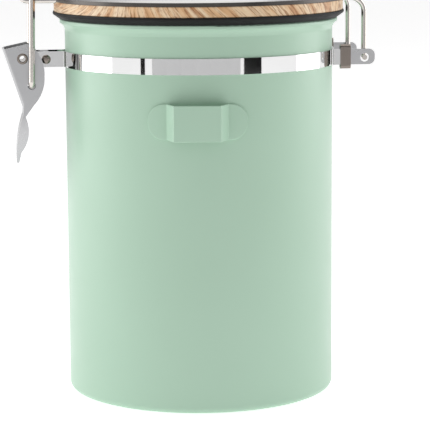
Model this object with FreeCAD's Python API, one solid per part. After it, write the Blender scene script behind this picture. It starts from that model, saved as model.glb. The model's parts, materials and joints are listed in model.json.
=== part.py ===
import FreeCAD, Part
import math
import os

# Airtight coffee canister: a painted steel can with a spoon bracket, a clamp strap, a wire-bail
# lid on a hinge, and an over-centre draw latch.
# Millimetres. Origin: centre of the flat underside. +Z up, the latch at -X, the hinge at +X.

# Can
BODY_R = 62.0            # outer radius of the can
WALL = 0.9               # sheet thickness
CORNER_R = 2.6           # outer radius of the bottom corner
FOOT_IN_R = 54.0         # inner edge of the turned-in foot
NECK_Z = 168.2           # where the neck starts to flare
CREASE_Z = 171.3         # crease under the rolled bead
BEAD_R = 64.3            # outer radius of the rolled bead
RIM_Z = 173.4            # top of the bead
BASE_SKIRT_Z = 6.0       # top of the base pan's welded skirt

# Spoon bracket, drawn facing -Y and then turned to its place
BRACKET_TURN = -7.6      # degrees about +Z
BRACKET_Z = 131.1        # middle height
BRACKET_H = 15.8
BRACKET_T = 1.0
BRACKET_FACE = 69.6      # distance from the can's axis to the bridge's outer face
BRIDGE_HALF = 10.45      # half width of the bridge at its outer face
RAMP_SLOPE = 20.0        # degrees that each ramp leans from square
TAB_HALF = 21.9          # half width over the two tabs
EDGE_BREAK = 0.3         # rounding of the bridge's edges
TAB_ROUND = 7.2          # corner radius of the tabs

# Clamp strap
STRAP_IN_R = 62.05
STRAP_T = 0.7
STRAP_W = 7.1
STRAP_Z = 155.3          # middle height
LUG_IN_Y = 5.3           # inner faces of the two latch lugs
LUG_END_R = 3.55
LUG_BEND = 2.2           # bend radius where a strap end leaves the can
RIVET_X = -71.1          # rivet through the two lugs

# Hinge yoke and ferrules
EAR_OUT_Y = 21.2         # outer faces of the two ears
EAR_T = 0.8
EAR_END_X = 79.0
EAR_ROUND = 2.8
EAR_HOLE_R = 2.0
YOKE_BEND = 1.3
HINGE_X = 74.3
HINGE_Z = 154.9
FERRULE_X = (62.8, 67.5)
FERRULE_H = 11.2
FERRULE_T = 0.8

# Latch lever, outlines measured from its pivot
PIVOT_X = -82.0
PIVOT_Z = 155.9
LEVER_HALF = 8.4         # half width over the side plates
LEVER_T = 0.9
LEVER_EDGE_R = 1.2       # fold radius along the spine
EYELET_R = 1.9
EYELET_BORE_R = 1.4
EYELET_FLANGE_R = 2.5
LOOP_DX = 4.0            # loop hole from the pivot
LOOP_DZ = -12.4
LOOP_HOLE_R = 1.9

# Latch loop
LOOP_R = 1.4             # wire radius
LOOP_HALF = 10.65        # half width between leg centres
LOOP_TOP_X = -77.2
LOOP_TOP_Z = 186.4
LOOP_END_Y = 6.8

# Lid bail
BAIL_R = 1.2             # wire radius
BAIL_LEG_Y = 18.8
BAIL_Z = 182.1
BAIL_BEND = 6.2
HOOK_X = -83.2
HOOK_HALF = 6.0
HOOK_BEND = 4.0
HOOK_TOP_Z = 188.4

# Lid stack
GASKET_Z = 173.5
GASKET_R = 67.4
WOOD_Z = (176.8, 181.6)
WOOD_R = 66.9
CAP_TOP_Z = 185.0
CAP_T = 0.8
CAP_SIDE = 1.7           # height of the cap's straight rim
CAP_FLAT_R = 60.5
PLUG_Z = 168.5
PLUG_WALL = 1.6
PLUG_R = 54.6            # at its lower edge
PLUG_TOP_R = 57.4
PLUG_FLANGE_R = 61.0
SCREW_PITCH_R = 46.0
SCREW_COUNT = 4

# Valve and date dials
VALVE_R = 10.0
VALVE_BORE_R = 8.2
VALVE_BOTTOM_Z = 165.4
SEAT_Z = 172.0
SEAT_T = 1.6
VENT_COUNT = 6
DIAL_R = 32.0
DIAL_Z = 186.0           # bearing face under both rings
TOP_Z = 190.0            # top of the vent cap
RING_GAP = 0.15          # play above and below each ring
RING_FIT = 0.3           # play around each ring
KNURL_COUNT = 60

V = FreeCAD.Vector
UP = V(0, 0, 1)
ORIGIN = V(0, 0, 0)
PARTS = {}


# ---------------------------------------------------------------- drawing helpers

def polar(centre, radius, degrees):
    """The point at an angle on a circle, as a pair."""
    angle = math.radians(degrees)
    return (centre[0] + radius * math.cos(angle), centre[1] + radius * math.sin(angle))


def turn(centre, radius, start, end):
    """An arc step for face(): its middle and end points."""
    return (polar(centre, radius, (start + end) / 2), polar(centre, radius, end))


def face(plane, start, *steps):
    """A face in the plane "xy", "xz" or "yz". A step is a point, or an arc's middle and end points."""
    place = {
        "xy": lambda p: V(p[0], p[1], 0),
        "xz": lambda p: V(p[0], 0, p[1]),
        "yz": lambda p: V(0, p[0], p[1]),
    }[plane]
    edges = []
    here = start
    for step in steps + (start,):
        if isinstance(step[0], tuple):
            middle, end = step
            edges.append(Part.Arc(place(here), place(middle), place(end)).toShape())
        else:
            end = step
            if math.dist(here, end) > 1e-6:
                edges.append(Part.LineSegment(place(here), place(end)).toShape())
        here = end
    return Part.Face(Part.Wire(edges))


def turned(start, *steps):
    """A solid of revolution about Z from an outline of (radius, z) points."""
    return face("xz", start, *steps).revolve(ORIGIN, UP, 360)


def rounded_box_face(plane, low, high, radius):
    """A rectangle with rounded corners."""
    (a, b), (c, d) = low, high
    return face(
        plane,
        (a + radius, b), (c - radius, b),
        turn((c - radius, b + radius), radius, -90, 0), (c, d - radius),
        turn((c - radius, d - radius), radius, 0, 90), (a + radius, d),
        turn((a + radius, d - radius), radius, 90, 180), (a, b + radius),
        turn((a + radius, b + radius), radius, 180, 270),
    )


def ring(inner, outer, low, high):
    """A plain tube about Z."""
    tube = Part.makeCylinder(outer, high - low, V(0, 0, low))
    return tube.cut(Part.makeCylinder(inner, high - low, V(0, 0, low)))


def rod_y(radius, x, z, low, high):
    """A cylinder along Y."""
    return Part.makeCylinder(radius, high - low, V(x, low, z), V(0, 1, 0))


def spun_y(x, z, start, *steps):
    """A solid of revolution about a line along Y through (x, z), from (radius, y) points."""
    profile = face("xy", start, *steps)
    solid = profile.revolve(ORIGIN, V(0, 1, 0), 360)
    solid.translate(V(x, 0, z))
    return solid


def bent_rod(points, bends, radius):
    """A round wire along straight runs joined by tangent arcs, one bend radius per inner point."""
    edges = []
    here = points[0]
    for before, corner, after, bend in zip(points, points[1:], points[2:], bends):
        into = (corner - before).normalize()
        out = (after - corner).normalize()
        half = into.getAngle(out) / 2
        reach = bend * math.tan(half)
        start = corner - into * reach
        end = corner + out * reach
        inward = (out - into).normalize()
        middle = corner + inward * (bend / math.cos(half) - bend)
        edges.append(Part.LineSegment(here, start).toShape())
        edges.append(Part.Arc(start, middle, end).toShape())
        here = end
    edges.append(Part.LineSegment(here, points[-1]).toShape())
    path = Part.Wire(edges)
    direction = (points[1] - points[0]).normalize()
    section = Part.Wire(Part.makeCircle(radius, points[0], direction))
    return path.makePipeShell([section], True, False)


def mirrored(shape):
    """The shape on the other side of the XZ plane."""
    return shape.mirror(ORIGIN, V(0, 1, 0))


def around(shape, count, start=0.0):
    """Copies of a shape evenly spaced about Z."""
    copies = []
    for i in range(count):
        copy = shape.copy()
        copy.rotate(ORIGIN, UP, start + 360 * i / count)
        copies.append(copy)
    return copies


# ---------------------------------------------------------------- can

def can_wall():
    """Side wall with a turned-in foot, a flared neck and a rolled bead."""
    inner_r = BODY_R - WALL
    corner = (BODY_R - CORNER_R, CORNER_R)
    return turned(
        (FOOT_IN_R, 0), (BODY_R - CORNER_R, 0),
        turn(corner, CORNER_R, -90, 0), (BODY_R, NECK_Z),
        ((62.35, 169.7), (63.5, CREASE_Z - 0.1)),
        ((63.55, CREASE_Z + 0.05), (63.75, CREASE_Z + 0.1)),
        ((64.15, CREASE_Z + 0.25), (BEAD_R, CREASE_Z + 0.6)),
        (BEAD_R, RIM_Z - 0.7),
        turn((BEAD_R - 0.7, RIM_Z - 0.7), 0.7, 0, 90), (inner_r + 0.7, RIM_Z),
        turn((inner_r + 0.7, RIM_Z - 0.7), 0.7, 90, 180), (inner_r, CORNER_R),
        turn(corner, CORNER_R - WALL, 0, -90), (FOOT_IN_R, WALL),
    )


def can_base():
    """Base pan that sits on the foot, its skirt welded inside the wall."""
    inner_r = BODY_R - WALL
    corner = (BODY_R - CORNER_R, CORNER_R)
    bend = CORNER_R - WALL
    top = 2 * WALL
    return turned(
        (0, top + 0.6), (46.0, top + 0.6), (48.0, top), (BODY_R - CORNER_R, top),
        turn(corner, bend - WALL, -90, 0), (inner_r - WALL, BASE_SKIRT_Z),
        (inner_r, BASE_SKIRT_Z), (inner_r, CORNER_R),
        turn(corner, bend, 0, -90), (47.6, WALL), (45.6, WALL + 0.6), (0, WALL + 0.6),
    )


def spoon_bracket():
    """Bent strip with a bridge that stands off the can and two tabs that lie on it."""
    height = BRACKET_H
    lean = math.radians(RAMP_SLOPE)

    def outline(skin_r, face_y, half):
        """Half of one surface of the strip, from the bridge's corner down its ramp to the tab."""
        drop = face_y - skin_r * math.cos(math.radians(12.6))
        foot_x = half + drop * math.tan(lean)
        foot = (foot_x, -math.sqrt(skin_r ** 2 - foot_x ** 2))
        tab = (TAB_HALF + 0.5, -math.sqrt(skin_r ** 2 - (TAB_HALF + 0.5) ** 2))
        spread = (foot_x + tab[0]) / 2
        middle = (spread, -math.sqrt(skin_r ** 2 - spread ** 2))
        return (half, -face_y), foot, middle, tab

    outer = outline(BODY_R + BRACKET_T, BRACKET_FACE, BRIDGE_HALF)
    inner = outline(BODY_R + 0.02, BRACKET_FACE - BRACKET_T, BRIDGE_HALF - 0.72 * BRACKET_T)

    def left(point):
        return (-point[0], point[1])

    strip = face(
        "xy",
        left(outer[0]), outer[0], outer[1], (outer[2], outer[3]),
        inner[3], (inner[2], inner[1]), inner[0],
        left(inner[0]), left(inner[1]), (left(inner[2]), left(inner[3])),
        left(outer[3]), (left(outer[2]), left(outer[1])),
    ).extrude(V(0, 0, height))
    strip.translate(V(0, 0, BRACKET_Z - height / 2))
    bends = [e for e in strip.Edges if is_upright(e) and near_bridge_or_foot(e)]
    strip = strip.makeFillet(0.8, bends)
    shape = rounded_box_face(
        "xz", (-TAB_HALF, BRACKET_Z - height / 2), (TAB_HALF, BRACKET_Z + height / 2), TAB_ROUND
    )
    strip = strip.common(shape.extrude(V(0, -2 * BODY_R, 0)))
    strip = strip.makeFillet(EDGE_BREAK, [e for e in strip.Edges if is_outer_rim(e)])
    strip.rotate(ORIGIN, UP, BRACKET_TURN)
    return strip


def is_upright(edge):
    """True for a straight edge along Z."""
    ends = [v.Point for v in edge.Vertexes]
    return len(ends) == 2 and math.hypot(ends[0].x - ends[1].x, ends[0].y - ends[1].y) < 1e-6


def is_outer_rim(edge):
    """True for an edge of the bracket's outer surface along its top or bottom."""
    point = edge.valueAt((edge.FirstParameter + edge.LastParameter) / 2)
    on_end = abs(abs(point.z - BRACKET_Z) - BRACKET_H / 2) < 1e-4
    on_face = abs(point.y + BRACKET_FACE) < 1e-4
    return on_end and on_face


def near_bridge_or_foot(edge):
    """True for the bracket's bend lines on its outer surface."""
    point = edge.Vertexes[0].Point
    on_face = abs(point.y + BRACKET_FACE) < 1e-6
    on_foot = abs(math.hypot(point.x, point.y) - BODY_R - BRACKET_T) < 1e-6 and abs(point.x) < 17
    return on_face or on_foot


# ---------------------------------------------------------------- clamp strap and hinge

def bend_centre(line_y, bend, radius, side):
    """Centre of a bend that joins a line at y = -line_y to a circle about the origin."""
    y = -(line_y + side * bend)
    return (math.sqrt((radius + bend) ** 2 - y ** 2), y)


def strap_front():
    """Front half of the strap, both ends bent outward: a lug at the latch, an ear root at the hinge."""
    low, high = STRAP_IN_R, STRAP_IN_R + STRAP_T
    lug = bend_centre(LUG_IN_Y, LUG_BEND, STRAP_IN_R, 1)
    ear = bend_centre(EAR_OUT_Y, LUG_BEND, STRAP_IN_R, 1)
    lug_turn = math.degrees(math.atan2(-lug[1], lug[0]))
    ear_turn = math.degrees(math.atan2(-ear[1], ear[0]))
    lug_at = (-lug[0], lug[1])
    lug_end = PIVOT_X - LUG_END_R
    ear_end = FERRULE_X[1] - 0.3
    small = LUG_BEND - STRAP_T
    outline = face(
        "xy",
        (lug_end, -LUG_IN_Y), (lug_at[0], -LUG_IN_Y),
        turn(lug_at, LUG_BEND, 90, lug_turn),
        turn(ORIGIN, low, 180 + lug_turn, 360 - ear_turn),
        turn(ear, LUG_BEND, 180 - ear_turn, 90), (ear_end, -EAR_OUT_Y),
        (ear_end, -EAR_OUT_Y - STRAP_T), (ear[0], -EAR_OUT_Y - STRAP_T),
        turn(ear, small, 90, 180 - ear_turn),
        turn(ORIGIN, high, 360 - ear_turn, 180 + lug_turn),
        turn(lug_at, small, lug_turn, 90), (lug_end, -LUG_IN_Y - STRAP_T),
    )
    strap = outline.extrude(V(0, 0, STRAP_W))
    strap.translate(V(0, 0, STRAP_Z - STRAP_W / 2))
    round_end = rod_y(LUG_END_R, PIVOT_X, STRAP_Z, -20, 0)
    rest = Part.makeBox(200, 200, STRAP_W, V(PIVOT_X, -200, STRAP_Z - STRAP_W / 2))
    strap = strap.common(rest.fuse(round_end))
    strap = strap.cut(rod_y(EYELET_R + 0.05, PIVOT_X, PIVOT_Z, -20, 0))
    return strap.cut(rod_y(1.6, RIVET_X, STRAP_Z, -20, 0))


def hinge_yoke():
    """U-shaped bracket: a web on the can and an ear at each end, with the bail's pin holes."""
    low, high = STRAP_IN_R, STRAP_IN_R + EAR_T
    corner = bend_centre(EAR_OUT_Y, YOKE_BEND, STRAP_IN_R, -1)
    turned_by = math.degrees(math.atan2(-corner[1], corner[0]))
    other = (corner[0], -corner[1])
    small = YOKE_BEND - EAR_T
    inside = EAR_OUT_Y - EAR_T
    outline = face(
        "xy",
        (EAR_END_X, -EAR_OUT_Y), (corner[0], -EAR_OUT_Y),
        turn(corner, YOKE_BEND, 270, 180 - turned_by),
        turn(ORIGIN, low, -turned_by, turned_by),
        turn(other, YOKE_BEND, 180 + turned_by, 90), (EAR_END_X, EAR_OUT_Y),
        (EAR_END_X, inside), (corner[0], inside),
        turn(other, small, 90, 180 + turned_by),
        turn(ORIGIN, high, turned_by, -turned_by),
        turn(corner, small, 180 - turned_by, 270), (EAR_END_X, -inside),
    )
    yoke = outline.extrude(V(0, 0, STRAP_W))
    yoke.translate(V(0, 0, STRAP_Z - STRAP_W / 2))
    shape = rounded_box_face(
        "xz", (0, STRAP_Z - STRAP_W / 2), (EAR_END_X, STRAP_Z + STRAP_W / 2), EAR_ROUND
    ).extrude(V(0, 2 * BODY_R, 0))
    shape.translate(V(0, -BODY_R, 0))
    yoke = yoke.common(shape)
    return yoke.cut(rod_y(EAR_HOLE_R, HINGE_X, HINGE_Z, -30, 30))


def ferrule_front():
    """Flattened sheet loop squeezed over the strap's end and the ear behind it."""
    depth = STRAP_T + EAR_T
    middle = -(EAR_OUT_Y + STRAP_T - depth / 2)
    half_h = FERRULE_H / 2
    loop = rounded_box_face(
        "yz",
        (middle - depth / 2 - FERRULE_T, STRAP_Z + 0.2 - half_h),
        (middle + depth / 2 + FERRULE_T, STRAP_Z + 0.2 + half_h),
        1.4,
    )
    hole = rounded_box_face(
        "yz",
        (middle - depth / 2, STRAP_Z + 0.2 - half_h + FERRULE_T),
        (middle + depth / 2, STRAP_Z + 0.2 + half_h - FERRULE_T),
        0.6,
    )
    width = V(FERRULE_X[1] - FERRULE_X[0], 0, 0)
    ferrule = loop.extrude(width).cut(hole.extrude(width))
    ferrule.translate(V(FERRULE_X[0], 0, 0))
    return ferrule


def strap_rivet():
    """Solid rivet through both lugs, a low dome at each end."""
    out = LUG_IN_Y + STRAP_T
    return spun_y(
        RIVET_X, STRAP_Z,
        (0, -out - 0.9), (0.5, -out - 0.9), ((1.4, -out - 0.7), (2.1, -out - 0.2)), (2.1, -out),
        (1.6, -out), (1.6, out), (2.1, out), (2.1, out + 0.2), ((1.4, out + 0.7), (0.5, out + 0.9)),
        (0, out + 0.9),
    )


def spacer(x, z, bore):
    """Tube that holds the two lugs apart."""
    tube = rod_y(3.0, x, z, -LUG_IN_Y, LUG_IN_Y)
    return tube.cut(rod_y(bore, x, z, -LUG_IN_Y, LUG_IN_Y))


# ---------------------------------------------------------------- latch

def latch_lever():
    """Folded sheet lever: a channel around the lugs that narrows to a neck and a cupped finger tab."""
    t = LEVER_T
    side = face(
        "xz",
        (-9.0, 4.3), (2.4, 6.7), (6.0, 4.0),
        ((9.1, -1.5), (9.9, -8.2)),
        ((8.5, -15.9), (5.0, -21.2)), (0.9, -26.8),
        ((2.3, -34.0), (-1.2, -43.4)), (-2.3, -48.4), (-3.3, -48.4),
        ((-2.6, -36.0), (-0.1, -26.0)), (0.1, -23.6),
    )
    hollow = face(
        "xz",
        (-9.0 + t, 4.3), (-9.0 + t, 12.0), (14.0, 12.0), (14.0, -50.0), (-2.4, -50.0),
        ((-2.6 + t, -36.0), (-0.1 + t, -26.0)), (0.1 + t, -23.6),
    )
    half = LEVER_HALF

    def front(inset):
        """The lever seen from outside, symmetric about the mid plane."""
        top = 12.0
        steps = [
            (half - inset, top), (half - inset, -27.0),
            ((half - 1.5 - inset, -39.0), (3.6 - inset * 0.8, -48.6)),
        ]
        left_side = [
            (-3.6 + inset * 0.8, -48.6),
            ((-half + 1.5 + inset, -39.0), (-half + inset, -27.0)),
        ]
        return face("yz", (-half + inset, top), *(steps + left_side))

    def crossed(side_face, front_face):
        across = side_face.extrude(V(0, 4 * half, 0))
        across.translate(V(0, -2 * half, 0))
        through = front_face.extrude(V(8 * half, 0, 0))
        through.translate(V(-4 * half, 0, 0))
        return across.common(through)

    outer = crossed(side, front(0))
    folds = [e for e in outer.Edges if is_fold(e)]
    outer = outer.makeFillet(LEVER_EDGE_R, folds)
    inner = crossed(hollow, front(t))
    lever = outer.cut(inner)
    lever.translate(V(PIVOT_X, 0, PIVOT_Z))
    lever = lever.cut(rod_y(EYELET_R, PIVOT_X, PIVOT_Z, -20, 20))
    return lever.cut(rod_y(LOOP_HOLE_R, PIVOT_X + LOOP_DX, PIVOT_Z + LOOP_DZ, -20, 20))


def is_fold(edge):
    """True for a straight edge where the lever's spine meets a side plate."""
    ends = [v.Point for v in edge.Vertexes]
    if len(ends) != 2:
        return False
    at_side = all(abs(abs(p.y) - LEVER_HALF) < 1e-4 for p in ends)
    return at_side and all(p.x < 0.2 for p in ends) and abs(ends[0].z - ends[1].z) > 20


def pivot_eyelet():
    """Hollow rivet that the lever turns on, its ends rolled over the side plates."""
    out = LEVER_HALF
    flange = EYELET_FLANGE_R
    return spun_y(
        PIVOT_X, PIVOT_Z,
        (EYELET_BORE_R, -out - 0.25), ((EYELET_BORE_R + 0.3, -out - 0.5), (flange - 0.3, -out - 0.4)),
        (flange, -out), (EYELET_R, -out), (EYELET_R, out), (flange, out),
        (flange - 0.3, out + 0.4), ((EYELET_BORE_R + 0.3, out + 0.5), (EYELET_BORE_R, out + 0.25)),
    )


def pivot_washers():
    """Washer between each lug and the side plate beside it."""
    low = LUG_IN_Y + STRAP_T + 0.05
    high = LEVER_HALF - LEVER_T
    washer = rod_y(3.4, PIVOT_X, PIVOT_Z, low, high).cut(rod_y(EYELET_R, PIVOT_X, PIVOT_Z, low, high))
    return Part.makeCompound([washer, mirrored(washer)])


def latch_loop():
    """Wire loop: its ends turn in through the lever's side plates, its top bar sits in the bail's hook."""
    foot_x = PIVOT_X + LOOP_DX
    foot_z = PIVOT_Z + LOOP_DZ
    points = [
        V(foot_x, -LOOP_END_Y, foot_z), V(foot_x, -LOOP_HALF, foot_z),
        V(LOOP_TOP_X, -LOOP_HALF, LOOP_TOP_Z), V(LOOP_TOP_X, LOOP_HALF, LOOP_TOP_Z),
        V(foot_x, LOOP_HALF, foot_z), V(foot_x, LOOP_END_Y, foot_z),
    ]
    return bent_rod(points, [1.9, 3.4, 3.4, 1.9], LOOP_R)


# ---------------------------------------------------------------- lid

def bail_points():
    """Corners of the bail wire, from the front pin over the lid and back to the rear pin."""
    pin_y = EAR_OUT_Y + 0.1
    front = [
        V(HINGE_X, -pin_y, HINGE_Z), V(HINGE_X, -BAIL_LEG_Y, HINGE_Z),
        V(HINGE_X, -BAIL_LEG_Y, BAIL_Z), V(HOOK_X, -HOOK_HALF, BAIL_Z),
        V(HOOK_X, -HOOK_HALF, HOOK_TOP_Z),
    ]
    rear = [V(p.x, -p.y, p.z) for p in reversed(front)]
    return front + rear


def lid_bail():
    """Wire bail: hinge pins, uprights, two runs under the cap, and an upturned hook."""
    bends = [1.3, BAIL_BEND, HOOK_BEND, 2.2]
    return bent_rod(bail_points(), bends + bends[::-1], BAIL_R)


def bail_groove(radius):
    """Round channels along the bail's two runs, to cut from the wood and the cap."""
    start, end = bail_points()[2:4]
    groove = Part.makeCylinder(radius, (end - start).Length, start, end - start)
    return groove.fuse(mirrored(groove))


def centre_hole():
    """Bore that the valve passes through."""
    return Part.makeCylinder(VALVE_R, 60, V(0, 0, 140))


def lid_wood():
    """Wooden disc, its edges just broken, grooved on top for the bail."""
    low, high = WOOD_Z
    disc = turned(
        (0, low), (WOOD_R - 0.3, low), (WOOD_R, low + 0.3), (WOOD_R, high - 0.5),
        turn((WOOD_R - 0.5, high - 0.5), 0.5, 0, 90), (0, high),
    )
    pilots = [
        Part.makeCylinder(1.4, 3.5, V(SCREW_PITCH_R, 0, low)).rotate(ORIGIN, UP, 45 + 90 * i)
        for i in range(SCREW_COUNT)
    ]
    disc = disc.cut(bail_groove(BAIL_R + 0.02)).cut(centre_hole())
    return disc.cut(pilots)


def lid_cap():
    """Pressed steel cap over the wood, with a rolled shoulder and a notch at each wire."""
    low = WOOD_Z[1]
    rim_r = WOOD_R - 0.1
    shoulder = ((rim_r - 1.9, CAP_TOP_Z - 0.42), (CAP_FLAT_R, CAP_TOP_Z))
    inner_r = rim_r - CAP_T
    under = ((rim_r - 2.6, CAP_TOP_Z - 0.5 - CAP_T), (inner_r, low + CAP_SIDE - 0.3))
    cap = turned(
        (rim_r, low), (rim_r, low + CAP_SIDE), shoulder, (0, CAP_TOP_Z), (0, CAP_TOP_Z - CAP_T),
        (CAP_FLAT_R - 0.3, CAP_TOP_Z - CAP_T), under, (inner_r, low),
    )
    cap = cap.cut(bail_groove(BAIL_R + 0.15))
    return cap.cut(centre_hole())


def lid_gasket():
    """Silicone ring on the plug: its flat sits on the bead and its lip covers the gap."""
    low, high = GASKET_Z, WOOD_Z[0]
    return turned(
        (PLUG_TOP_R, low), (BEAD_R + 0.1, low),
        (GASKET_R - 0.2, high - 1.3), ((GASKET_R, high - 0.9), (GASKET_R, high - 0.5)), (GASKET_R - 0.2, high),
        (PLUG_FLANGE_R, high), (PLUG_FLANGE_R, high - 0.8), (PLUG_TOP_R, high - 0.8),
    )


def lid_plug():
    """Moulded inner lid that enters the can: a shallow pan with a flange, ribs and screw bosses."""
    high = WOOD_Z[0]
    wall = PLUG_WALL
    pan = turned(
        (0, PLUG_Z), (PLUG_R - 1.5, PLUG_Z),
        turn((PLUG_R - 1.5, PLUG_Z + 1.5), 1.5, -90, 0), (PLUG_TOP_R, GASKET_Z),
        (PLUG_TOP_R, high - 0.8), (PLUG_FLANGE_R, high - 0.8), (PLUG_FLANGE_R, high),
        (PLUG_TOP_R - wall, high), (PLUG_R - wall, PLUG_Z + wall), (0, PLUG_Z + wall),
    )
    rib = Part.makeBox(37.0, 1.4, high - PLUG_Z - wall, V(16.0, -0.7, PLUG_Z + wall))
    rim = PLUG_R - wall - 0.2
    ribs = [r.common(Part.makeCylinder(rim, 40, V(0, 0, 150))) for r in around(rib, 8, 22.5)]
    boss = Part.makeCylinder(3.6, high - PLUG_Z - wall, V(SCREW_PITCH_R, 0, PLUG_Z + wall))
    hub = ring(VALVE_R, VALVE_R + 6.2, PLUG_Z + wall, high)
    plug = pan.fuse(ribs + around(boss, SCREW_COUNT, 45) + [hub]).cut(centre_hole())
    hole = Part.makeCylinder(1.7, 20, V(SCREW_PITCH_R, 0, PLUG_Z - 1))
    sink = Part.makeCylinder(3.1, 2.0, V(SCREW_PITCH_R, 0, PLUG_Z - 0.5))
    return plug.cut(around(hole, SCREW_COUNT, 45) + around(sink, SCREW_COUNT, 45))


def lid_screws():
    """Pan-head screws from the plug up into the wood."""
    head_z = PLUG_Z + 1.5
    crown = ((1.7, head_z - 1.35), (2.8, head_z - 0.7))
    head = turned((0, head_z - 1.6), crown, (2.8, head_z), (0, head_z))
    shank = Part.makeCylinder(1.4, WOOD_Z[0] + 3.4 - head_z, V(0, 0, head_z))
    slot_a = Part.makeBox(3.0, 0.6, 0.9, V(-1.5, -0.3, head_z - 1.7))
    slot_b = Part.makeBox(0.6, 3.0, 0.9, V(-0.3, -1.5, head_z - 1.7))
    screw = head.fuse(shank).cut([slot_a, slot_b])
    screw.translate(V(SCREW_PITCH_R, 0, 0))
    return Part.makeCompound(around(screw, SCREW_COUNT, 45))


# ---------------------------------------------------------------- valve and date dials

def valve_housing():
    """Tube through the lid with a vented seat across it."""
    tube = ring(VALVE_BORE_R, VALVE_R, VALVE_BOTTOM_Z, DIAL_Z)
    seat = Part.makeCylinder(VALVE_BORE_R, SEAT_T, V(0, 0, SEAT_Z))
    vent = Part.makeCylinder(1.0, 4, V(4.0, 0, SEAT_Z - 1))
    stem = Part.makeCylinder(1.2, 4, V(0, 0, SEAT_Z - 1))
    return tube.fuse(seat).cut(around(vent, VENT_COUNT) + [stem])


def valve_flap():
    """Umbrella flap: a thin disc over the vents on a stem with a barb."""
    top = SEAT_Z + SEAT_T
    return turned(
        (0, SEAT_Z - 2.2), (0.8, SEAT_Z - 2.2), (1.7, SEAT_Z - 0.7), (1.7, SEAT_Z), (1.2, SEAT_Z),
        (1.2, top), (6.4, top), ((3.8, top + 0.7), (1.0, top + 0.9)), (0, top + 0.9),
    )


def valve_filter():
    """Felt disc under the seat that keeps grounds out of the valve."""
    return Part.makeCylinder(VALVE_BORE_R, 1.2, V(0, 0, VALVE_BOTTOM_Z + 0.8))


def valve_nut():
    """Ring nut under the plug that clamps the whole lid on the valve tube, with grip notches."""
    nut = turned(
        (VALVE_R, VALVE_BOTTOM_Z), (VALVE_R + 3.6, VALVE_BOTTOM_Z), (VALVE_R + 4.6, VALVE_BOTTOM_Z + 1.0),
        (VALVE_R + 4.6, PLUG_Z), (VALVE_R, PLUG_Z),
    )
    notch = Part.makeCylinder(1.3, 6, V(VALVE_R + 5.0, 0, VALVE_BOTTOM_Z - 1))
    return nut.cut(around(notch, 8))


def dial_base():
    """Fixed dish on the cap that both rings turn in."""
    return turned(
        (VALVE_R, CAP_TOP_Z), (DIAL_R - 0.4, CAP_TOP_Z), (DIAL_R, CAP_TOP_Z + 0.4), (DIAL_R, DIAL_Z + 1.3),
        turn((DIAL_R - 0.6, DIAL_Z + 1.3), 0.6, 0, 90), (DIAL_R - 1.4, DIAL_Z + 1.9),
        (DIAL_R - 1.6, DIAL_Z + 1.7), (DIAL_R - 1.6, DIAL_Z), (VALVE_R, DIAL_Z),
    )


def day_ring():
    """Outer date ring: its inner lip runs under the month ring."""
    low = DIAL_Z + RING_GAP
    out = DIAL_R - 1.6 - RING_FIT
    body = turned(
        (19.0, low), (out, low), (out, low + 1.9), (out - 0.5, low + 2.3), (21.4, low + 2.3),
        (21.0, low + 1.9), (21.0, low + 0.9), (19.0, low + 0.9),
    )
    notch = Part.makeCylinder(0.55, 2, V(out - 2.6, 0, low + 1.9))
    return body.cut(around(notch, KNURL_COUNT))


def month_ring():
    """Inner date ring, held down by the vent cap and holding down the day ring."""
    low = DIAL_Z + RING_GAP
    body = turned(
        (12.5, low), (18.7, low), (18.7, low + 1.05), (20.7, low + 1.05), (20.7, low + 2.5),
        (20.3, low + 2.9), (15.0, low + 2.9), (14.6, low + 2.5), (14.6, low + 1.0), (12.5, low + 1.0),
    )
    notch = Part.makeCylinder(0.5, 2, V(19.3, 0, low + 2.5))
    return body.cut(around(notch, 36))


def valve_cap():
    """Vented cap screwed on the valve tube: its flange holds the rings down."""
    body = turned(
        (0, DIAL_Z + 2.0), (VALVE_R, DIAL_Z + 2.0), (VALVE_R, DIAL_Z), (12.2, DIAL_Z), (12.2, DIAL_Z + 1.3),
        (14.3, DIAL_Z + 1.3), (14.3, TOP_Z - 1.0), turn((13.3, TOP_Z - 1.0), 1.0, 0, 90),
        (9.0, TOP_Z), ((7.6, TOP_Z - 0.35), (6.4, TOP_Z - 0.9)), (0, TOP_Z - 0.9),
    )
    vent = Part.makeBox(3.2, 1.0, 8, V(2.2, -0.5, DIAL_Z))
    return body.cut(around(vent, 8))


# ---------------------------------------------------------------- build

PARTS["can_wall"] = can_wall()
PARTS["can_base"] = can_base()
PARTS["spoon_bracket"] = spoon_bracket()
PARTS["strap_front"] = strap_front()
PARTS["strap_rear"] = mirrored(PARTS["strap_front"])
PARTS["hinge_yoke"] = hinge_yoke()
PARTS["ferrule_front"] = ferrule_front()
PARTS["ferrule_rear"] = mirrored(PARTS["ferrule_front"])
PARTS["strap_rivet"] = strap_rivet()
PARTS["rivet_spacer"] = spacer(RIVET_X, STRAP_Z, 1.6)
PARTS["pivot_spacer"] = spacer(PIVOT_X, PIVOT_Z, EYELET_R + 0.05)
PARTS["latch_lever"] = latch_lever()
PARTS["pivot_eyelet"] = pivot_eyelet()
PARTS["pivot_washers"] = pivot_washers()
PARTS["latch_loop"] = latch_loop()
PARTS["lid_bail"] = lid_bail()
PARTS["lid_wood"] = lid_wood()
PARTS["lid_cap"] = lid_cap()
PARTS["lid_gasket"] = lid_gasket()
PARTS["lid_plug"] = lid_plug()
PARTS["lid_screws"] = lid_screws()
PARTS["valve_housing"] = valve_housing()
PARTS["valve_flap"] = valve_flap()
PARTS["valve_filter"] = valve_filter()
PARTS["valve_nut"] = valve_nut()
PARTS["dial_base"] = dial_base()
PARTS["day_ring"] = day_ring()
PARTS["month_ring"] = month_ring()
PARTS["valve_cap"] = valve_cap()

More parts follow.
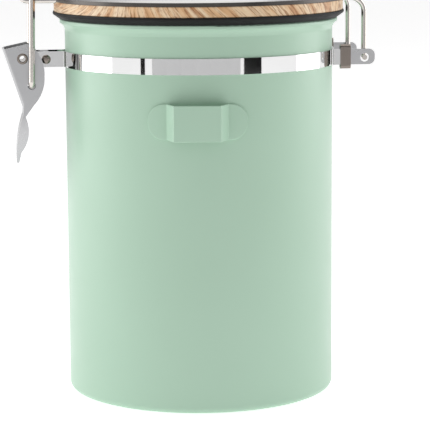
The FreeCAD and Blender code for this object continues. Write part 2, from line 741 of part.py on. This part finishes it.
os.makedirs("parts", exist_ok=True)
for name, shape in PARTS.items():
    shape.exportStep(os.path.join("parts", name + ".step"))
    state = f"solids {len(shape.Solids)} valid {shape.isValid()}"
    print(f"{name:15s} {state} volume {shape.Volume:9.1f}")
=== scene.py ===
import json
import math

import bpy
from mathutils import Matrix, Vector

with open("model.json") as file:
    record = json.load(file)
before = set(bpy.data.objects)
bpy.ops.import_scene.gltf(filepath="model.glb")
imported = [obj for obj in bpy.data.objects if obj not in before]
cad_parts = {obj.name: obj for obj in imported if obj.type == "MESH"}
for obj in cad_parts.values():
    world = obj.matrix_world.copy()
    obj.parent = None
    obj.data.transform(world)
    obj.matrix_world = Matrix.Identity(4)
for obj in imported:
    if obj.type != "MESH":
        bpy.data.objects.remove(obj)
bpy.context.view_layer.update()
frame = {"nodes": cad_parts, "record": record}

CAMERA_AT = (-0.1138, -0.9271, 0.2306)
CAMERA_HEADING = (0.1219, 0.9925)
CAMERA_PITCH, CAMERA_ROLL = 8.535, -0.449
CAMERA_BEARING = -97.0
CAMERA_LENS, CAMERA_SENSOR = 168.2, 36
CAMERA_SHIFT = (0.0353, -0.05)
CAN_MIDDLE = (0, 0, 0.1)
DIFFUSE_SKY, REFLECTED_SKY, CAMERA_SKY = 0.40, 0.92, 1.05
FRONT_GREY = (0.64, 0.64, 0.645)
GRAIN_CENTRE_X, GRAIN_CENTRE_Z = 0.01, 0.1795


# ------------------------------------------------------------ node helpers

class Look:
    """A material with a Principled shader, and short ways to add nodes to it."""

    def __init__(self, name, color, metallic=0.0, roughness=0.5, **sockets):
        self.mat = bpy.data.materials.new(name)
        self.mat.use_nodes = True
        self.tree = self.mat.node_tree
        self.shader = self.tree.nodes["Principled BSDF"]
        self.shader.inputs["Base Color"].default_value = (*color, 1)
        self.shader.inputs["Metallic"].default_value = metallic
        self.shader.inputs["Roughness"].default_value = roughness
        for key, value in sockets.items():
            self.shader.inputs[key.replace("_", " ")].default_value = value
        self.place = self.node("ShaderNodeTexCoord").outputs["Object"]
        self.bumped = None

    def node(self, kind, **props):
        made = self.tree.nodes.new(kind)
        for key, value in props.items():
            setattr(made, key, value)
        return made

    def link(self, a, b):
        self.tree.links.new(a, b)

    def mapping(self, scale=(1, 1, 1), rotation=(0, 0, 0), source=None):
        made = self.node("ShaderNodeMapping")
        made.inputs["Scale"].default_value = scale
        made.inputs["Rotation"].default_value = rotation
        self.link(source or self.place, made.inputs["Vector"])
        return made.outputs["Vector"]

    def noise(self, vector, scale, detail=3.0, rough=0.5, distortion=0.0):
        made = self.node("ShaderNodeTexNoise")
        self.link(vector, made.inputs["Vector"])
        made.inputs["Scale"].default_value = scale
        made.inputs["Detail"].default_value = detail
        made.inputs["Roughness"].default_value = rough
        made.inputs["Distortion"].default_value = distortion
        return made.outputs["Fac"]

    def ramp(self, fac, stops, interpolation="LINEAR"):
        made = self.node("ShaderNodeValToRGB")
        made.color_ramp.interpolation = interpolation
        marks = made.color_ramp.elements
        while len(marks) < len(stops):
            marks.new(0.5)
        for mark, (at, value) in zip(marks, stops):
            mark.position = at
            mark.color = (*value, 1) if isinstance(value, tuple) else (value, value, value, 1)
        self.link(fac, made.inputs["Fac"])
        return made.outputs["Color"]

    def math(self, kind, a, b):
        made = self.node("ShaderNodeMath", operation=kind)
        for socket, value in zip(made.inputs, (a, b)):
            if isinstance(value, (int, float)):
                socket.default_value = value
            else:
                self.link(value, socket)
        return made.outputs[0]

    def mix(self, fac, a, b, blend="MIX"):
        made = self.node("ShaderNodeMix", data_type="RGBA", blend_type=blend)
        for socket, value in zip((made.inputs[0], made.inputs[6], made.inputs[7]), (fac, a, b)):
            if isinstance(value, (int, float)):
                socket.default_value = value
            elif isinstance(value, tuple):
                socket.default_value = (*value, 1)
            else:
                self.link(value, socket)
        return made.outputs[2]

    def bump(self, height, strength, distance):
        made = self.node("ShaderNodeBump")
        made.inputs["Strength"].default_value = strength
        made.inputs["Distance"].default_value = distance
        self.link(height, made.inputs["Height"])
        if self.bumped is not None:
            self.link(self.bumped, made.inputs["Normal"])
        self.bumped = made.outputs["Normal"]
        self.link(self.bumped, self.shader.inputs["Normal"])

    def vary(self, socket, fac, low, high):
        self.link(self.ramp(fac, [(0.3, low), (0.7, high)]), self.shader.inputs[socket])


def paint_look():
    """Satin powder coat: a faint orange-peel skin, and tone and gloss that drift slowly."""
    look = Look("mint_paint", (0.44, 0.66, 0.50), roughness=0.38, Coat_Weight=0.15, Coat_Roughness=0.22)
    drift = look.noise(look.place, 9, 2)
    look.link(look.ramp(drift, [(0.3, (0.425, 0.612, 0.475)), (0.7, (0.45, 0.642, 0.505))]),
              look.shader.inputs["Base Color"])
    look.vary("Roughness", look.noise(look.place, 60, 4), 0.33, 0.43)
    look.bump(look.noise(look.place, 900, 2), 0.12, 0.00012)
    look.bump(look.noise(look.place, 3500, 1), 0.08, 0.00004)
    return look.mat


def steel_look(name, color, low, high, scale, grain=0.05, streak=(1, 1, 1)):
    """Bare steel with drawn lines along one direction, faint smears and fine scratches."""
    look = Look(name, color, metallic=1.0, roughness=low)
    smear = look.noise(look.place, 45, 4, 0.6)
    look.vary("Roughness", smear, low, high)
    darker = tuple(c * 0.93 for c in color)
    look.link(look.mix(smear, color, darker), look.shader.inputs["Base Color"])
    lines = look.noise(look.mapping(scale=streak), scale, 3, 0.7)
    look.bump(lines, grain, 0.00006)
    return look.mat


def cap_look():
    """Steel sheet brushed in circles, with painted shade: a much darker base colour on faces that look
    sideways.
    """
    look = Look("brushed_steel", (0.50, 0.49, 0.48), metallic=1.0, roughness=0.3)
    split = look.node("ShaderNodeSeparateXYZ")
    look.link(look.place, split.inputs[0])
    squared = look.math("ADD", look.math("MULTIPLY", split.outputs[0], split.outputs[0]),
                        look.math("MULTIPLY", split.outputs[1], split.outputs[1]))
    radius = look.math("SQRT", squared, 0.0)
    join = look.node("ShaderNodeCombineXYZ")
    look.link(radius, join.inputs[0])
    look.link(split.outputs[2], join.inputs[2])
    rings = look.noise(join.outputs[0], 2600, 3, 0.8)
    look.vary("Roughness", rings, 0.22, 0.34)
    look.bump(rings, 0.12, 0.00005)
    way = look.node("ShaderNodeTexCoord").outputs["Normal"]
    tilt = look.node("ShaderNodeSeparateXYZ")
    look.link(way, tilt.inputs[0])
    smear = look.noise(look.place, 40, 4)
    top = look.mix(smear, (0.60, 0.595, 0.585), (0.54, 0.535, 0.525))
    # Painted shade: faces that look sideways get a near-black base colour, standing in for the shade on the
    # cap's edge.
    sideways_painted_shade = look.ramp(tilt.outputs[2], [(0.35, 0.0), (0.93, 1.0)])
    look.link(look.mix(sideways_painted_shade, (0.09, 0.083, 0.078), top), look.shader.inputs["Base Color"])
    return look.mat


def wood_look():
    """Lacquered wood cut across the grain: tan, with brown ring lines whose lean changes along the edge."""
    look = Look("bamboo", (0.6, 0.4, 0.24), roughness=0.45, Coat_Weight=0.12, Coat_Roughness=0.3)
    split = look.node("ShaderNodeSeparateXYZ")
    look.link(look.place, split.inputs[0])
    x, y, z = split.outputs
    base = look.math("SUBTRACT", z, GRAIN_CENTRE_Z)
    off = look.math("SUBTRACT", x, GRAIN_CENTRE_X)
    lean = look.math("SUBTRACT", 1.1, look.math("MULTIPLY", look.math("MULTIPLY", off, off), 500.0))
    across = look.math("ADD", x, look.math("MULTIPLY", base, lean))
    join = look.node("ShaderNodeCombineXYZ")
    look.link(across, join.inputs[0])
    look.link(look.math("MULTIPLY", y, 0.12), join.inputs[1])
    look.link(look.math("MULTIPLY", base, 0.15), join.inputs[2])
    wide = look.noise(join.outputs[0], 210, 3, 0.6, 0.3)
    fine = look.noise(join.outputs[0], 1050, 4, 0.7, 0.2)
    tone = look.ramp(wide, [(0.32, (0.50, 0.24, 0.10)), (0.44, (0.74, 0.47, 0.25)),
                            (0.54, (0.80, 0.60, 0.39)), (0.70, (0.88, 0.71, 0.51))])
    lines = look.ramp(fine, [(0.38, (0.40, 0.21, 0.10)), (0.52, (1.0, 1.0, 1.0))])
    look.link(look.mix(0.85, tone, lines, "MULTIPLY"), look.shader.inputs["Base Color"])
    look.vary("Roughness", fine, 0.5, 0.4)
    look.bump(fine, 0.15, 0.0001)
    return look.mat


def rubber_look():
    """Matte silicone with a slight bloom of dust."""
    look = Look("black_silicone", (0.010, 0.010, 0.011), roughness=0.55, Specular_IOR_Level=0.2)
    dust = look.noise(look.place, 120, 5, 0.7)
    look.link(look.ramp(dust, [(0.35, (0.006, 0.006, 0.0065)), (0.75, (0.015, 0.015, 0.0155))]),
              look.shader.inputs["Base Color"])
    look.vary("Roughness", dust, 0.48, 0.66)
    look.bump(look.noise(look.place, 1800, 2), 0.1, 0.00005)
    return look.mat


def plastic_look(name, color, low, high, grain):
    """Moulded plastic with a fine spark-eroded texture."""
    look = Look(name, color, roughness=low)
    look.vary("Roughness", look.noise(look.place, 80, 4), low, high)
    lighter = tuple(c * 1.35 for c in color)
    look.link(look.mix(look.noise(look.place, 30, 3), color, lighter), look.shader.inputs["Base Color"])
    look.bump(look.noise(look.place, 4200, 1), grain, 0.00005)
    return look.mat


def felt_look():
    """Pressed felt: short crossing fibres."""
    look = Look("felt", (0.72, 0.70, 0.64), roughness=0.95, Sheen_Weight=0.3)
    fibre = look.noise(look.mapping(scale=(1, 4, 1), rotation=(0, 0, 0.6)), 900, 5, 0.8, 1.5)
    look.link(look.ramp(fibre, [(0.3, (0.58, 0.56, 0.50)), (0.7, (0.80, 0.78, 0.73))]),
              look.shader.inputs["Base Color"])
    look.bump(fibre, 0.5, 0.0002)
    return look.mat


looks = {
    "mint_paint": paint_look(),
    "polished_steel": steel_look("polished_steel", (0.90, 0.90, 0.90), 0.02, 0.05, 700, 0.012, (1, 1, 6)),
    "satin_steel": steel_look("satin_steel", (0.51, 0.51, 0.52), 0.22, 0.36, 500, 0.16, (1, 1, 0.08)),
    "wire_steel": steel_look("wire_steel", (0.70, 0.66, 0.62), 0.08, 0.16, 900, 0.03, (1, 1, 0.2)),
    "bamboo": wood_look(),
    "brushed_steel": cap_look(),
    "black_silicone": rubber_look(),
    "black_plastic": plastic_look("black_plastic", (0.018, 0.018, 0.019), 0.42, 0.55, 0.2),
    "dial_plastic": plastic_look("dial_plastic", (0.022, 0.022, 0.023), 0.24, 0.34, 0.06),
    "felt": felt_look(),
}
# Painted shade: a dark, warm copy of steel for the ferrules, eyelet, rivet and spacer, standing in for the
# shade on them.
painted_shade_steel = steel_look("painted_shade_steel", (0.26, 0.225, 0.20), 0.16, 0.26, 600, 0.06, (1, 1, 0.3))
slot_of = {s["node"]: s["material_slot"] for s in frame["record"]["subparts"]}
for name, obj in frame["nodes"].items():
    obj.data.materials.clear()
    # These small parts get the dark steel copy, which is painted shade.
    painted_shade_part = name.startswith("ferrule") or name in ("pivot_eyelet", "strap_rivet", "pivot_spacer")
    obj.data.materials.append(painted_shade_steel if painted_shade_part else looks[slot_of[name]])


# ------------------------------------------------------------ stage, light, camera

def card(name, center, size, facing, color):
    """A flat stage panel that only shows in reflections, not to the camera or in diffuse light."""
    half_w, half_h = size[0] / 2, size[1] / 2
    mesh = bpy.data.meshes.new(name)
    corners = [(-half_w, -half_h, 0), (half_w, -half_h, 0), (half_w, half_h, 0), (-half_w, half_h, 0)]
    mesh.from_pydata(corners, [], [(0, 1, 2, 3)])
    panel = bpy.data.objects.new(name, mesh)
    bpy.context.collection.objects.link(panel)
    aim = Vector(facing) - Vector(center)
    panel.matrix_world = Matrix.Translation(center) @ aim.to_track_quat("Z", "Y").to_matrix().to_4x4()
    mat = bpy.data.materials.new(name)
    mat.use_nodes = True
    shader = mat.node_tree.nodes["Principled BSDF"]
    shader.inputs["Base Color"].default_value = (*color, 1)
    shader.inputs["Roughness"].default_value = 1.0
    shader.inputs["Specular IOR Level"].default_value = 0.0
    panel.data.materials.append(mat)
    panel.visible_camera = False
    panel.visible_diffuse = False
    panel.visible_shadow = False
    return panel


def floor():
    """Pale floor with a weak glow of its own."""
    mesh = bpy.data.meshes.new("floor")
    mesh.from_pydata([(-6, -6, 0), (6, -6, 0), (6, 6, 0), (-6, 6, 0)], [], [(0, 1, 2, 3)])
    ground = bpy.data.objects.new("floor", mesh)
    bpy.context.collection.objects.link(ground)
    mat = bpy.data.materials.new("floor")
    mat.use_nodes = True
    shader = mat.node_tree.nodes["Principled BSDF"]
    shader.inputs["Base Color"].default_value = (0.92, 0.92, 0.92, 1)
    shader.inputs["Roughness"].default_value = 0.8
    shader.inputs["Specular IOR Level"].default_value = 0.1
    shader.inputs["Emission Color"].default_value = (1, 1, 1, 1)
    shader.inputs["Emission Strength"].default_value = 0.55
    ground.data.materials.append(mat)


def softbox(name, at, target, size, power):
    """A rectangular area light aimed at a point."""
    data = bpy.data.lights.new(name, "AREA")
    data.shape = "RECTANGLE"
    data.size, data.size_y = size
    data.energy = power
    lamp = bpy.data.objects.new(name, data)
    bpy.context.collection.objects.link(lamp)
    aim = Vector(target) - Vector(at)
    lamp.matrix_world = Matrix.Translation(at) @ aim.to_track_quat("-Z", "Y").to_matrix().to_4x4()


def around_camera(degrees, distance, height):
    """A point seen from the can at an angle from the camera's direction, positive to the right."""
    angle = math.radians(CAMERA_BEARING + degrees)
    return (distance * math.cos(angle), distance * math.sin(angle), height)


floor()
softbox("key", around_camera(-95, 1.3, 0.55), CAN_MIDDLE, (1.0, 1.4), 9)
softbox("fill", around_camera(105, 1.4, 0.5), CAN_MIDDLE, (0.9, 1.4), 7)
softbox("top", (0, 0.1, 1.6), CAN_MIDDLE, (1.4, 1.4), 5)
card("dark_left", around_camera(-46.5, 1.6, 0.2), (0.11, 2.6), CAN_MIDDLE, (0.02, 0.02, 0.02))
card("dark_right", around_camera(45, 1.6, 0.2), (0.44, 2.6), CAN_MIDDLE, (0.01, 0.01, 0.01))
for turn in (-32, -20, -8, 4, 16, 28):
    card("grey_front", around_camera(turn, 1.45, 0.9), (0.32, 2.2),
         around_camera(turn, 0, 0.9), FRONT_GREY)
card("dark_back_left", around_camera(-148, 1.8, 0.3), (0.34, 2.6), CAN_MIDDLE, (0.03, 0.03, 0.03))
card("dark_back_right", around_camera(148, 1.8, 0.3), (0.34, 2.6), CAN_MIDDLE, (0.03, 0.03, 0.03))
card("dark_above", around_camera(0, 1.25, 1.25), (2.2, 1.0), CAN_MIDDLE, (0.10, 0.085, 0.075))

world = bpy.data.worlds.new("studio")
bpy.context.scene.world = world
world.use_nodes = True
tree = world.node_tree
background = tree.nodes["Background"]
background.inputs["Color"].default_value = (1, 1, 1, 1)
background.inputs["Strength"].default_value = DIFFUSE_SKY
ray = tree.nodes.new("ShaderNodeLightPath")
for kind, strength in (("Is Glossy Ray", REFLECTED_SKY), ("Is Camera Ray", CAMERA_SKY)):
    seen = tree.nodes.new("ShaderNodeBackground")
    seen.inputs["Color"].default_value = (1, 1, 1, 1)
    seen.inputs["Strength"].default_value = strength
    blend = tree.nodes.new("ShaderNodeMixShader")
    tree.links.new(ray.outputs[kind], blend.inputs[0])
    tree.links.new(background.outputs[0], blend.inputs[1])
    tree.links.new(seen.outputs[0], blend.inputs[2])
    background = blend
tree.links.new(background.outputs[0], tree.nodes["World Output"].inputs["Surface"])

camera_data = bpy.data.cameras.new("camera")
camera_data.lens = CAMERA_LENS
camera_data.sensor_width = CAMERA_SENSOR
camera_data.shift_x, camera_data.shift_y = CAMERA_SHIFT
camera = bpy.data.objects.new("camera", camera_data)
bpy.context.collection.objects.link(camera)
pitch = math.radians(CAMERA_PITCH)
ahead = Vector((*(part * math.cos(pitch) for part in CAMERA_HEADING), -math.sin(pitch)))
level = ahead.to_track_quat("-Z", "Y").to_matrix().to_4x4()
roll = Matrix.Rotation(math.radians(CAMERA_ROLL), 4, "Z")
camera.matrix_world = Matrix.Translation(CAMERA_AT) @ level @ roll
bpy.context.scene.camera = camera
bpy.context.scene.view_settings.view_transform = "Standard"
